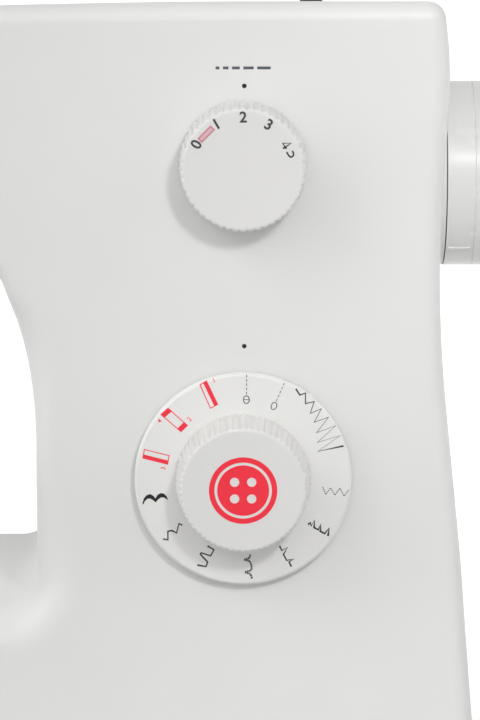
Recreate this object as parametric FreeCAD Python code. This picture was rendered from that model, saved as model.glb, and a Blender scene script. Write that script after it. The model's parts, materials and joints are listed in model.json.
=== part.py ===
import FreeCAD, Part
import math, os
from FreeCAD import Vector as V

os.makedirs("parts", exist_ok=True)

# Domestic sewing machine. Millimetres, +Z up, +X towards the handwheel, -Y towards the user.
# ---------------------------------------------------------------- driving dimensions
DY = 10.5            # shift that puts the middle of the overall depth on the origin
WALL = 2.6           # moulded casing wall
Z_TOP = 302.1        # crest of the arm
Z_BED = 82.0         # sewing surface
BED = Z_BED - 86.0   # the free arm and its works are drawn for a bed at 86 and moved with it
Z_FOOT = 16.4        # lower edge of the upper casing
Y_FRONT = -62.0      # flat front of the pillar and arm
Y_REAR = 55.0
Y_FLARE_F = -76.0    # front at the foot of the pillar
Y_FLARE_R = 67.0
Y_SEAM = 8.0         # parting plane between front and rear casing
X_LEFT = -192.5      # end of the head
X_RIGHT = 192.5      # outer face of the handwheel
X_HEAD = -118.0      # throat side of the head
Z_HEAD = 158.0       # underside of the head
Z_ARM = 210.0        # underside of the arm
X_FOOT = -5.0        # where the removable table meets the pillar foot
FALL = 0.122         # the top falls away to the rear by this much per mm of depth
R_EDGE = 6.0         # rounding of the casing's front and rear edges
R_BED = 10.0         # what the front edge's rounding gains by the foot of the throat
X_DIAL = 92.0        # both dials stand on one vertical line
Z_LENGTH = 245.0     # stitch length dial
Z_PATTERN = 132.2    # pattern dial
Z_SHAFT = 233.0      # main shaft
Y_SHAFT = -4.0
R_WHEEL = 33.8
X_NEEDLE = -150.0
Y_NEEDLE = -4.0
Y_PRESSER = 10.0
Y_HOOK = -21.0       # hook and lower shaft
Z_LOWER = 52.0 + BED
CRANK = 15.0         # half of the needle bar's stroke
ROD = 46.0
Y_MOTOR, Z_MOTOR = 10.0, 62.0
RUN = 0.04           # radial running clearance of shafts
GAP = 0.35           # clearance between casing pieces

# casing outline seen from the front, counter-clockwise: x, z, corner radius
OUTLINE = [
    (X_FOOT, Z_FOOT, 0), (176.8, Z_FOOT, 0), (170.5, 100.0, 600.0), (160.0, 200.0, 500.0),
    (165.4, 277.0, 150.0), (162.3, 302.0, 6.5), (75.0, Z_TOP, 3000.0), (X_LEFT, 296.5, 15.0), (X_LEFT, Z_HEAD, 14.0),
    (X_HEAD, Z_HEAD, 12.0), (X_HEAD, Z_ARM, 13.0), (3.7, Z_ARM, 14.0), (18.3, 166.4, 150.0),
    (17.0, Z_BED, 11.5), (X_FOOT, Z_BED, 0),
]
# casing depth seen from the side, counter-clockwise: y, z, corner radius
PROFILE = [
    (Y_FLARE_F, Z_FOOT, 0), (Y_FLARE_R, Z_FOOT, 0), (Y_REAR, 66.0, 330.0), (Y_REAR, 320.0, 0),
    (Y_FRONT, 320.0, 0), (Y_FRONT, 66.0, 330.0),
]


# ---------------------------------------------------------------- helpers
def place(plane, a, b, at):
    return {"xz": V(a, at, b), "yz": V(at, a, b), "xy": V(a, b, at)}[plane]


def rounded(pts, plane, at=0.0):
    """Closed wire of straight runs and tangent arcs through corner points (a, b, radius)."""
    n = len(pts)
    corners = []
    for i in range(n):
        a, b, r = pts[i]
        pa, pb, _ = pts[i - 1]
        na, nb, _ = pts[(i + 1) % n]
        d1 = (a - pa, b - pb)
        d2 = (na - a, nb - b)
        l1, l2 = math.hypot(*d1), math.hypot(*d2)
        d1 = (d1[0] / l1, d1[1] / l1)
        d2 = (d2[0] / l2, d2[1] / l2)
        dot = max(-1.0, min(1.0, d1[0] * d2[0] + d1[1] * d2[1]))
        turn = math.acos(dot)
        if r <= 0 or turn < 1e-6:
            corners.append(((a, b), None, (a, b)))
            continue
        t = r * math.tan(turn / 2)
        bis = (d2[0] - d1[0], d2[1] - d1[1])
        lb = math.hypot(*bis)
        k = r / math.cos(turn / 2) - r
        mid = (a + bis[0] / lb * k, b + bis[1] / lb * k)
        corners.append(((a - d1[0] * t, b - d1[1] * t), mid, (a + d2[0] * t, b + d2[1] * t)))
    edges = []
    for i in range(n):
        s, m, e = corners[i]
        if m is not None:
            edges.append(Part.Arc(place(plane, *s, at), place(plane, *m, at), place(plane, *e, at)).toShape())
        nxt = corners[(i + 1) % n][0]
        p, q = place(plane, *e, at), place(plane, *nxt, at)
        if p.distanceToPoint(q) > 1e-6:
            edges.append(Part.LineSegment(p, q).toShape())
    return Part.Wire(edges)


def inset(pts, t):
    """Offset a counter-clockwise corner list inwards; t is one distance or one per side (side i runs from point i)."""
    n = len(pts)
    ts = t if isinstance(t, (list, tuple)) else [t] * n
    lines = []
    for i in range(n):
        a, b, _ = pts[i]
        c, d, _ = pts[(i + 1) % n]
        l = math.hypot(c - a, d - b)
        ux, uy = (c - a) / l, (d - b) / l
        lines.append(((a - uy * ts[i], b + ux * ts[i]), (ux, uy)))
    out = []
    for i in range(n):
        (p1, u1), (p2, u2) = lines[i - 1], lines[i]
        cr = u1[0] * u2[1] - u1[1] * u2[0]
        if abs(cr) < 1e-9:
            q = p2
        else:
            w = (p2[0] - p1[0], p2[1] - p1[1])
            k = (w[0] * u2[1] - w[1] * u2[0]) / cr
            q = (p1[0] + u1[0] * k, p1[1] + u1[1] * k)
        r = pts[i][2]
        if r > 0:
            r = max(0.4, r - ts[i]) if cr > 0 else r + ts[i]
        out.append((q[0], q[1], r))
    return out


def prism(pts, plane, lo, hi):
    """Solid between two parallel planes over a rounded corner list."""
    f = Part.Face(rounded(pts, plane, lo))
    d = {"xz": V(0, hi - lo, 0), "yz": V(hi - lo, 0, 0), "xy": V(0, 0, hi - lo)}[plane]
    return f.extrude(d)


def box(x0, x1, y0, y1, z0, z1):
    return Part.makeBox(x1 - x0, y1 - y0, z1 - z0, V(x0, y0, z0))


def rbox(x0, x1, y0, y1, z0, z1, r, plane="xy"):
    """Box with rounded corners in one plane."""
    a0, a1, b0, b1, lo, hi = {"xy": (x0, x1, y0, y1, z0, z1), "xz": (x0, x1, z0, z1, y0, y1), "yz": (y0, y1, z0, z1, x0, x1)}[plane]
    return prism([(a0, b0, r), (a1, b0, r), (a1, b1, r), (a0, b1, r)], plane, lo, hi)


AX = {"x": V(1, 0, 0), "y": V(0, 1, 0), "z": V(0, 0, 1)}


def cyl(axis, c, r, lo, hi):
    """Cylinder on an axis through c = the two other coordinates in x, y, z order."""
    p = {"x": V(lo, c[0], c[1]), "y": V(c[0], lo, c[1]), "z": V(c[0], c[1], lo)}[axis] if axis != "z" else V(c[0], c[1], lo)
    return Part.makeCylinder(r, hi - lo, p, AX[axis])


def tube(axis, c, ro, ri, lo, hi):
    return cyl(axis, c, ro, lo, hi).cut(cyl(axis, c, ri, lo - 1, hi + 1))


def cone(axis, c, r0, r1, lo, hi):
    p = {"x": V(lo, c[0], c[1]), "y": V(c[0], lo, c[1]), "z": V(c[0], c[1], lo)}[axis]
    return Part.makeCone(r0, r1, hi - lo, p, AX[axis])


def fuse(*s):
    out = s[0]
    for k in s[1:]:
        out = out.fuse(k)
    return out.removeSplitter()


def cut(a, *s):
    for k in s:
        a = a.cut(k)
    return a


def soften(shape, r, pick):
    """Round the edges chosen by pick(edge); keeps the sharp shape if the kernel refuses."""
    es = [e for e in shape.Edges if pick(e)]
    if not es:
        return shape
    try:
        s = shape.makeFillet(r, es)
        if s.isValid() and s.Volume > 0:
            return s
    except Exception as err:
        print("soften failed", r, err)
    return shape


def spin_outline(axis, c, pts):
    """Solid of revolution: pts are (distance along axis, radius) round an axis through c."""
    ps = []
    for a, r in pts:
        ps.append({"x": V(a, c[0] + r, c[1]), "y": V(c[0] + r, a, c[1]), "z": V(c[0] + r, c[1], a)}[axis])
    w = Part.makePolygon(ps + [ps[0]])
    o = {"x": V(0, c[0], c[1]), "y": V(c[0], 0, c[1]), "z": V(c[0], c[1], 0)}[axis]
    return Part.Face(w).revolve(o, AX[axis], 360)


def turned(shape, o, axis, deg):
    s = shape.copy()
    s.rotate(V(*o), V(*axis), deg)
    return s


def low(shape):
    """Moved from the bed height it is drawn for to the real one."""
    s = shape.copy()
    s.translate(V(0, 0, BED))
    return s


DONE = {}


def out(name, *solids):
    """Write one named piece, moved to the final origin."""
    keep = []
    for s in solids:
        for k in s.Solids:
            k = k.copy()
            k.translate(V(0, DY, 0))
            keep.append(k)
    sh = keep[0] if len(keep) == 1 else Part.makeCompound(keep)
    for k in keep:
        if not k.isValid() or k.Volume <= 0:
            print("BAD", name, k.isValid(), k.Volume)
    sh.exportStep("parts/%s.step" % name)
    DONE[name] = sh
    b = sh.BoundBox
    print("%-22s n=%d vol=%.0f  x %.1f..%.1f y %.1f..%.1f z %.1f..%.1f" % (name, len(keep), sum(k.Volume for k in keep), b.XMin, b.XMax, b.YMin, b.YMax, b.ZMin, b.ZMax))


# ---------------------------------------------------------------- upper casing
def at_depth(o, y):
    """Casing outline at depth y: its crest falls to the rear, the right corner sliding along the right wall."""
    dz = -FALL * (y - Y_FRONT)
    o = list(o)
    lean = (o[4][0] - o[3][0]) / (o[4][1] - o[3][1])
    for k, run in ((4, lean), (5, lean), (6, 0.0), (7, 0.0)):
        o[k] = (o[k][0] + run * dz, o[k][1] + dz, o[k][2])
    return o


def on_outline(o, edge):
    """True if the edge's middle lies on the casing outline at its own depth."""
    m = edge.valueAt((edge.FirstParameter + edge.LastParameter) / 2)
    d = rounded(at_depth(o, m.y), "xz", m.y).distToShape(Part.Vertex(m))[0]
    return d < 0.02


def blend(edge, r):
    """Radii at the two ends of an outline edge: the front edge grows softer down the throat to the bed."""
    ends = []
    for q in (edge.firstVertex(True).Point, edge.lastVertex(True).Point):
        g = 0.0
        if q.y < 0 and X_FOOT - 8 < q.x < 24 and Z_BED - 6 < q.z < 158:
            g = min(1.0, (158 - q.z) / 56.0)
            if q.x < X_FOOT + 4 and r == R_EDGE:
                g = 0.1
        ends.append(r + R_BED * g)
    return ends


def round_edges(shape, jobs):
    """Round edges, each with its own radii at its two ends."""
    doc = FreeCAD.newDocument("rounding")
    base = doc.addObject("Part::Feature", "base")
    base.Shape = shape
    f = doc.addObject("Part::Fillet", "f")
    f.Base = base
    f.Edges = [(next(i for i, k in enumerate(shape.Edges, 1) if k.isSame(e)), a, b) for e, a, b in jobs]
    doc.recompute()
    made = f.Shape.copy()
    FreeCAD.closeDocument(doc.Name)
    return made


def casing(t, r, bottom):
    """Closed casing body inset by t, with its front and rear edges rounded by r; bottom is the inset of the open lower side."""
    ts = [t] * len(OUTLINE)
    ts[0] = bottom
    o = inset(OUTLINE, ts)
    tp = [t] * len(PROFILE)
    tp[0] = bottom
    p = inset(PROFILE, tp)
    s = Part.makeLoft([rounded(at_depth(o, y), "xz", y) for y in (Y_FLARE_F - 1.0, Y_FLARE_R + 1.0)], True, True).common(prism(p, "yz", -300, 300))
    s = s.Solids[0]
    zlow = min(q[1] for q in o)
    xfoot = o[0][0]
    es = []
    for e in s.Edges:
        b = e.BoundBox
        if b.ZMax < zlow + 0.01 or (b.XMax < xfoot + 0.01 and b.XMin > xfoot - 0.01):
            continue
        if b.YMax > Y_FRONT + t + 0.5 and b.YMin < Y_REAR - t - 0.5:
            continue
        if b.YMax < -40 or b.YMin > 40:
            if on_outline(o, e):
                es.append(e)
    s2 = round_edges(s, [(e, *blend(e, r)) for e in es])
    print("casing", t, "edges", len(es), "valid", s2.isValid(), "vol", round(s2.Volume))
    return s2


outer = casing(0.0, R_EDGE, 0.0)
inner = casing(WALL, R_EDGE - WALL, -8.0)
shell = outer.cut(inner).Solids[0]
boss = fuse(cyl("x", (Y_SHAFT, Z_SHAFT), 30.2, 155.0, 169.6), cyl("x", (Y_SHAFT, Z_SHAFT), R_WHEEL - 0.25, 155.0, 165.0)).cut(inner)
# the small end of the boss is the collar that the handwheel's skirt runs round, the large end meets the skirt
shell = shell.fuse(boss).removeSplitter().cut(cyl("x", (Y_SHAFT, Z_SHAFT), 27.6, 150.0, 167.0)).Solids[0]
print("shell", shell.isValid(), len(shell.Faces), round(shell.Volume))

# parting groove round the casing where the two halves meet
skin = outer.cut(casing(0.7, R_EDGE - 0.7, -8.0))
groove = skin.common(box(-250, 250, Y_SEAM - 0.35, Y_SEAM + 0.35, -20, 330)).cut(box(-30, 40, 0, 40, 60, 130))

# lift-out top panel and hinged end cover are parted from the same moulded skin
TOP_PANEL = (-150.0, 148.0, -34.0, 44.0)


def top_prism(g):
    return rbox(TOP_PANEL[0] - g, TOP_PANEL[1] + g, TOP_PANEL[2] - g, TOP_PANEL[3] + g, 262, 320, 12 + g)


X_FACE = -172.4      # parting plane of the end cover
top_raw = shell.common(top_prism(-GAP / 2))
rest_skin = shell.cut(top_prism(GAP / 2))
face_raw = rest_skin.common(box(-260, X_FACE - GAP / 2, -130, 130, 100, 330))
rest_skin = rest_skin.cut(box(-260, X_FACE + GAP / 2, -130, 130, 100, 330))
front_raw = rest_skin.common(box(-260, 260, -130, Y_SEAM, -20, 330))
rear_raw = rest_skin.common(box(-260, 260, Y_SEAM, 130, -20, 330))

# openings through the casing
under_head = rbox(-171.0, -123.0, -18.0, 30.0, 150.0, 172.0, 4)
lamp_window = rbox(-164.2, -135.8, -45.2, -24.8, 150.0, 166.0, 6.2)
front_cuts = [
    cyl("y", (X_DIAL, Z_LENGTH), 6.0, -80, -50),
    cyl("y", (X_DIAL, Z_PATTERN), 7.0, -90, -50),
    rbox(-169.4, -164.2, -80, -50, 202, 269, 2.5, "xz"),      # take-up lever slot
    rbox(-118.8, -109.2, -80, -50, 247.4, 276.6, 2.0, "xz"),  # tension wheel slot
    rbox(118.8, 145.2, -95, -60, 21.5, 38.5, 3.0, "xz"),      # reverse lever slot
    cyl("x", (Y_SHAFT, Z_SHAFT), 9.0, 150, 176),              # main shaft leaves here
    under_head, lamp_window,
    box(-12, 0, -40, Y_SEAM + 1, 38 + BED, 82 + BED),                     # way through for the bed beam
]
rear_cuts = [under_head, box(150, 190, 10.8, 35.2, 29.8, 92.2), box(-12, 0, Y_SEAM - 1, 31, 38 + BED, 82 + BED)]
for k in range(7):                                            # cooling slots behind the motor
    rear_cuts.append(rbox(72 + 9 * k, 76 + 9 * k, 45, 90, 38, 92, 1.9, "xz"))
front = cut(front_raw, groove, *front_cuts)
rear = cut(rear_raw, groove, *rear_cuts)
X_WIND, Y_WIND = 117.0, 10.0
X_SPOOL, Y_SPOOL = -12.0, 16.0
top = cut(top_raw, rbox(X_WIND - 3.6, X_WIND + 10.6, Y_WIND - 3.6, Y_WIND + 3.6, 270, 320, 3.5), cyl("z", (X_SPOOL, Y_SPOOL), 3.6, 260, 320))
face = cut(face_raw, under_head)
HX, HY = -172.4, 56.2                                          # end cover's hinge, behind the rear wall
for lo, hi, mine, other in [(190.0, 200.0, "face", "rear"), (200.3, 210.0, "rear", "face"), (236.0, 245.7, "rear", "face"), (246.0, 256.0, "face", "rear")]:
    knuckle, room = cyl("z", (HX, HY), 2.0, lo, hi), cyl("z", (HX, HY), 2.3, lo - 0.3, hi + 0.3)
    if mine == "face":
        face, rear = face.fuse(knuckle), rear.cut(room)
    else:
        rear, face = rear.fuse(knuckle), face.cut(room)
face = face.removeSplitter().cut(cyl("z", (HX, HY), 0.9 + RUN, 180, 270))
rear = rear.removeSplitter().fuse(cyl("z", (HX, HY), 0.9, 189.5, 256.5))
out("front_cover", front)
out("rear_cover", rear)
out("top_cover", top)
out("face_cover", face)

# ---------------------------------------------------------------- base
tray = rbox(-192.0, 176.8, Y_FLARE_F + 0.2, Y_FLARE_R - 0.2, 4.0, 16.2, 10)
tray = tray.cut(rbox(-3.0, 173.6, -72.6, 63.6, 7.0, 30.0, 7))
tray = tray.cut(rbox(-188.8, -6.2, -72.6, 63.6, 0.0, 13.2, 7))
FEET = [(-176.0, -60.0), (-176.0, 51.0), (164.0, -60.0), (164.0, 51.0)]
for fx, fy in FEET:
    tray = tray.fuse(cyl("z", (fx, fy), 11.0, 4.0, 14.0))
tray = soften(tray.removeSplitter(), 1.2, lambda e: e.BoundBox.ZMax < 4.01 and (e.BoundBox.XMin < -191.9 or e.BoundBox.XMax > 176.7 or e.BoundBox.YMin < Y_FLARE_F + 0.3 or e.BoundBox.YMax > Y_FLARE_R - 0.3))
out("rubber_feet", *[cone("z", (fx, fy), 8.2, 9.2, 0.0, 4.0) for fx, fy in FEET])

# ---------------------------------------------------------------- free arm
FA = (-183.0, -5.4, -44.0, 34.0, 36.0)     # x0, x1, y0, y1, z0
arm = prism([(FA[2], FA[4], 6), (FA[3], FA[4], 6), (FA[3], Z_BED - BED, 6), (FA[2], Z_BED - BED, 6)], "yz", FA[0], FA[1])
arm = soften(arm, 5.0, lambda e: e.BoundBox.XMax < FA[0] + 0.01)
hollow = prism([(FA[2] + 2.5, FA[4] + 2.5, 3.5), (FA[3] - 2.5, FA[4] + 2.5, 3.5), (FA[3] - 2.5, Z_BED - BED - 2.5, 3.5), (FA[2] + 2.5, Z_BED - BED - 2.5, 3.5)], "yz", FA[0] + 2.5, FA[1] + 5)
arm = arm.cut(hollow)
arm = cut(
    arm,
    rbox(-176.3, -123.7, -17.0, 31.0, 80, 95, 3.3),             # needle plate seat
    rbox(-170.3, -129.7, -38.4, -16.0, 80, 95, 3.3), box(-170.3, -129.7, -38.4, -34.0, 80, 95),   # bobbin cover seat
    cyl("x", (-36.9, 84.95), 0.65 + RUN, -172.6, -127.4),       # its hinge holes
    rbox(-172.0, -12.0, -36.0, 26.0, 30, 40, 5),                # bottom opening
)
out("free_arm_cover", low(arm))
bottom = fuse(rbox(-171.7, -12.3, -35.7, 25.7, 36.0, 38.2, 4.7), rbox(-176.0, -8.0, -37.8, 27.8, 38.6, 40.2, 3.0), rbox(-170, -14, -34, 24, 37.0, 39.5, 3))
out("free_arm_bottom", low(bottom))

plate = rbox(-176.0, -124.0, -16.7, 30.7, 84.2, 86.2, 3.0)
plate = cut(
    plate,
    rbox(-153.4, -146.6, -5.3, -2.7, 80, 90, 1.28),
    rbox(-157.7, -154.3, -4.4, 17.0, 80, 90, 1.6),
    rbox(-145.7, -142.3, -4.4, 17.0, 80, 90, 1.6),
)
for px, py in [(-170.0, 24.0), (-130.0, 24.0)]:
    plate = plate.cut(cyl("z", (px, py), 2.1, 80, 90))
out("needle_plate", low(plate))
plate_screws = [low(fuse(cyl("z", (px, py), 2.0, 76.0, 86.2), cyl("z", (px, py), 4.2, 86.2, 87.4)).cut(box(px - 5, px + 5, py - 0.6, py + 0.6, 86.8, 90))) for px, py in [(-170.0, 24.0), (-130.0, 24.0)]]
hatch = fuse(rbox(-170.0, -130.0, -38.0, -17.3, 84.0, 86.0, 3.0), box(-170.0, -130.0, -38.0, -34.0, 84.0, 86.0)).cut(rbox(-154, -146, -22.6, -19.2, 85.2, 90, 1.65))
hatch = hatch.cut(box(-175, -125, -45, -36.9, 80, 90).cut(cyl("x", (-36.9, 84.95), 0.95, -180, -120)))   # rounded hinge edge
out("bobbin_cover", low(fuse(hatch, cyl("x", (-36.9, 84.95), 0.65, -171.8, -166.0), cyl("x", (-36.9, 84.95), 0.65, -134.0, -128.2))))

# ---------------------------------------------------------------- removable table round the free arm
tprof = inset(PROFILE, 0.0)
table = prism(tprof, "yz", -192.5, -5.5).common(box(-300, 0, -120, 52.0, 16.6, Z_BED))
table = soften(table, R_EDGE, lambda e: abs(e.BoundBox.ZMin - Z_BED) < 0.01 and abs(e.BoundBox.ZMax - Z_BED) < 0.01 and e.BoundBox.YMax < -50)
table = soften(table, R_EDGE, lambda e: abs(e.BoundBox.ZMin - Z_BED) < 0.01 and abs(e.BoundBox.ZMax - Z_BED) < 0.01 and e.BoundBox.YMin > 51.9)
table = soften(table, 9.0, lambda e: e.BoundBox.XMax < -192.49 and (e.BoundBox.YMax < -40 or e.BoundBox.YMin > 40))
cav = prism(inset(PROFILE, [2.6, 2.6, 2.6, 2.6, 2.6, 2.6]), "yz", -181.5, -8.1).common(box(-300, 0, -120, -47.6, 19.2, Z_BED - 2.6))
cav = soften(cav, R_EDGE - 2.6, lambda e: abs(e.BoundBox.ZMin - Z_BED + 2.6) < 0.01 and abs(e.BoundBox.ZMax - Z_BED + 2.6) < 0.01 and e.BoundBox.YMax < -50)
table = cut(table, box(-184.5, 10, -45.0, 35.0, 0, 120), cav, box(-181.5, -8.1, 37.6, 49.4, 0, Z_BED - 7.6))
LID = (-158.0, -34.0, 27.0, 68.0)


def lid_prism(g):
    return fuse(rbox(LID[0] - g, LID[1] + g, -100, -58, LID[2] - g, LID[3] + g, 5 + g, "xz"), box(LID[0] - g, LID[1] + g, -100, -58, LID[2] - g, LID[2] + 10))


lid = table.common(lid_prism(-GAP / 2))
table = table.cut(lid_prism(GAP / 2))
lid = lid.cut(rbox(-106, -86, -100, -69.0, 61.5, 66.0, 2.0, "xz"))
Y_LID, Z_LID = -71.25, 28.4                                    # lid's hinge, in the thickness of the wall
lid = lid.cut(box(LID[0] - 5, LID[1] + 5, -100, -60, 20, Z_LID).cut(cyl("x", (Y_LID, Z_LID), 1.2, LID[0] - 9, LID[1] + 9)))
lid = fuse(lid, cyl("x", (Y_LID, Z_LID), 0.8, LID[0] - 2.5, LID[0] + 6), cyl("x", (Y_LID, Z_LID), 0.8, LID[1] - 6, LID[1] + 2.5))
table = table.cut(cyl("x", (Y_LID, Z_LID), 0.8 + RUN, LID[0] - 3.2, LID[1] + 3.2))
out("extension_table", table)
out("accessory_lid", lid)

# ---------------------------------------------------------------- front dials
out("stitch_length_dial", spin_outline("y", (X_DIAL, Z_LENGTH), [
    (-62.8, 22.5), (-76.2, 21.9), (-77.5, 21.4), (-78.0, 20.6), (-78.0, 0), (-75.5, 0), (-75.5, 4.0), (-62.8, 4.0),
    (-62.8, 7.5), (-74.5, 7.5), (-74.5, 19.5), (-62.8, 19.5)]))
out("stitch_length_shaft", fuse(
    cyl("y", (X_DIAL, Z_LENGTH), 4.0, -75.5, -36.0), cyl("y", (X_DIAL, Z_LENGTH), 9.0, -58.9, -56.9),
    cyl("y", (X_DIAL + 3.0, Z_LENGTH + 2.0), 12.0, -46.0, -40.0)))
out("pattern_disc", spin_outline("y", (X_DIAL, Z_PATTERN), [
    (-63.3, 38.1), (-63.8, 38.6), (-66.6, 38.6), (-67.5, 37.7), (-67.5, 12.0), (-63.3, 12.0)]))
out("pattern_knob", spin_outline("y", (X_DIAL, Z_PATTERN), [
    (-67.5, 24.2), (-81.4, 22.7), (-82.7, 22.2), (-83.2, 21.4), (-83.2, 0), (-80.5, 0), (-80.5, 5.0), (-63.6, 5.0),
    (-63.6, 12.0), (-79.8, 12.0), (-79.8, 20.8), (-67.5, 20.8)]))
cams = [cyl("y", (X_DIAL, Z_PATTERN), 5.0, -80.5, -30.0), cyl("y", (X_DIAL, Z_PATTERN), 10.5, -58.9, -56.9)]
for k, (r, e, a) in enumerate([(12.0, 4.0, 20), (13.0, 3.0, 150), (11.0, 5.0, 265)]):
    y = -55.0 + 6 * k
    cams.append(cyl("y", (X_DIAL, Z_PATTERN), 9.0, y, y + 6.0))
    cams.append(cyl("y", (X_DIAL + e * math.cos(math.radians(a)), Z_PATTERN + e * math.sin(math.radians(a))), r, y, y + 4.4))
out("pattern_cam", fuse(*cams))

# ---------------------------------------------------------------- handwheel
wheel = spin_outline("x", (Y_SHAFT, Z_SHAFT), [
    (165.4, R_WHEEL), (175.0, R_WHEEL), (175.15, R_WHEEL - 0.3), (175.5, R_WHEEL - 0.3), (175.65, R_WHEEL), (190.2, R_WHEEL), (191.8, R_WHEEL - 0.6), (X_RIGHT, R_WHEEL - 2.0), (X_RIGHT, 29.0), (191.2, 27.5), (191.2, 12.0), (192.2, 10.8),
    (192.2, 0), (188.0, 0), (188.0, 5.5), (170.4, 5.5), (170.4, 8.5), (187.6, 8.5), (187.6, 30.8), (165.4, 30.8)])
rib = turned(box(166.2, 174.2, Y_SHAFT - R_WHEEL - 0.5, Y_SHAFT - R_WHEEL + 0.8, Z_SHAFT - 0.6, Z_SHAFT + 0.6), (0, Y_SHAFT, Z_SHAFT), (1, 0, 0), 45)
out("handwheel", fuse(wheel, rib))

# ---------------------------------------------------------------- reverse lever
Y_REV, Z_REV = -50.0, 30.0
lever = fuse(
    rbox(126, 138, -80.0, -48.0, Z_REV - 2.6, Z_REV + 2.6, 1.0, "yz"),
    rbox(120, 144, -88.0, -78.0, Z_REV - 4.6, Z_REV + 4.6, 3.6, "yz"),
    cyl("x", (Y_REV, Z_REV), 5.5, 122, 142), cyl("x", (Y_REV, Z_REV), 2.5, 112, 152))
lever = soften(lever, 1.5, lambda e: e.BoundBox.YMax < -78.0 and (e.BoundBox.XMax < 120.01 or e.BoundBox.XMin > 143.99))
out("reverse_lever", lever)
# ---------------------------------------------------------------- mains inlet and switch on the right side
bezel = prism([(162.0, 30.0, 1.0), (178.0, 30.0, 1.5), (173.6, 92.0, 1.5), (162.0, 92.0, 1.0)], "xz", 11.0, 35.0)
bezel = cut(bezel, rbox(166.0, 185, 14, 32, 36, 58, 2.5, "yz"), box(165.0, 185, 15, 31, 66, 86), cyl("y", (168.5, 76.0), 1.5 + RUN, 12.5, 33.5))
out("switch_bezel", bezel)
inlet = rbox(166.0, 175.0, 14.15, 31.85, 36.15, 57.85, 2.4, "yz").cut(rbox(168.0, 180, 15.8, 30.2, 37.8, 56.2, 1.6, "yz"))
out("power_inlet", fuse(inlet, cyl("x", (19.6, 47.0), 1.3, 167.0, 174.0), cyl("x", (26.4, 47.0), 1.3, 167.0, 174.0)))
rocker = prism([(169.5, 69.0, 0.8), (173.4, 68.4, 0.8), (172.2, 76.0, 20.0), (174.4, 83.4, 0.8), (169.5, 83.2, 0.8)], "xz", 15.3, 30.7)
out("power_rocker", fuse(rocker, cyl("y", (168.5, 76.0), 2.8, 15.3, 30.7), cyl("y", (168.5, 76.0), 1.5, 12.8, 33.2)))

# ---------------------------------------------------------------- carrying handle
Y_HAND, Z_HAND = 60.0, 256.0
out("handle_brackets",
    fuse(rbox(-64, -54, 55.0, 65.0, 249.5, 262.5, 2.0, "yz"), cyl("x", (Y_HAND, Z_HAND), 2.5, -72.5, -60)),
    fuse(rbox(74, 84, 55.0, 65.0, 249.5, 262.5, 2.0, "yz"), cyl("x", (Y_HAND, Z_HAND), 2.5, 80, 92.5)))
grip = soften(rbox(-71.5, 91.5, 56.2, 64.2, 201.0, 214.0, 3.4, "yz"), 2.0, lambda e: e.BoundBox.XLength < 0.01)
bail = fuse(grip, rbox(-71.5, -64.5, 56.8, 63.4, 206, 260.2, 3.0, "yz"), rbox(84.5, 91.5, 56.8, 63.4, 206, 260.2, 3.0, "yz"))
bail = cut(bail, cyl("x", (Y_HAND, Z_HAND), 2.5 + RUN, -80, 100))
out("carry_handle", bail)

# ---------------------------------------------------------------- top fittings
out("spool_pin", fuse(cyl("z", (X_SPOOL, Y_SPOOL), 3.0, 214.5, 294.0), cone("z", (X_SPOOL, Y_SPOOL), 4.6, 3.6, 292.4, 296.8)))
out("winder_arm", rbox(105, 130, 3.0, 17.0, 272.0, 276.0, 3.0).cut(cyl("z", (X_WIND, Y_WIND), 3.0 + RUN, 270, 290)))
out("bobbin_winder", fuse(
    cyl("z", (X_WIND, Y_WIND), 3.0, 258.0, 312.8), cone("z", (X_WIND, Y_WIND), 3.0, 2.0, 312.8, 315.3),
    cyl("z", (X_WIND, Y_WIND), 11.0, 299.6, 301.6), cyl("z", (X_WIND, Y_WIND), 4.2, 294.4, 299.6), cyl("z", (X_WIND, Y_WIND), 8.5, 259.0, 265.0)))
guide = fuse(box(-95, -85, -17.2, -15.6, 288.2, 304.2), box(-95, -85, -17.2, -9.0, 302.6, 304.2), box(-95, -93.2, -17.2, -9.0, 299.2, 304.2))
guide2 = fuse(box(-133, -123, -17.2, -15.6, 287.1, 303.1), box(-133, -123, -17.2, -9.0, 301.5, 303.1), box(-133, -131.2, -17.2, -9.0, 298.1, 303.1))
out("thread_guides", guide, guide2)
out("lamp_lens", fuse(rbox(-164, -136, -45, -25, 157.6, 160.4, 6.0), cyl("z", (-150, -35), 7.5, 160.0, 181.0)))
screws = []
for sx, sz in [(-160, 182), (-160, 250), (112, 255), (148, 200), (34, 125), (148, 125)]:
    screws.append(cyl("y", (sx, sz), 3.8, 55.0, 56.8).cut(box(sx - 2.6, sx + 2.6, 56.0, 60, sz - 0.5, sz + 0.5)).cut(box(sx - 0.5, sx + 0.5, 56.0, 60, sz - 2.6, sz + 2.6)))
out("fixing_screws", *(screws + plate_screws))

# ---------------------------------------------------------------- thread tension
Y_TEN, Z_TEN = -51.0, 262.0
out("tension_dial", spin_outline("x", (Y_TEN, Z_TEN), [(-118.0, 15.2), (-117.2, 16.0), (-110.8, 16.0), (-110.0, 15.2), (-110.0, 12.0), (-111.4, 11.0), (-111.4, 6.0), (-110.0, 5.2), (-110.0, 2.5 + RUN), (-118.0, 2.5 + RUN)]))
out("tension_discs",
    fuse(cyl("x", (Y_TEN, Z_TEN), 2.5, -128.0, -98.5), box(-101.0, -98.0, -59.3, -45.0, 254.0, 270.0)),
    tube("x", (Y_TEN, Z_TEN), 7.6, 2.6, -121.4, -120.2), tube("x", (Y_TEN, Z_TEN), 7.6, 2.6, -123.4, -122.2),
    tube("x", (Y_TEN, Z_TEN), 4.6, 2.6, -128.0, -125.0))

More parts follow.
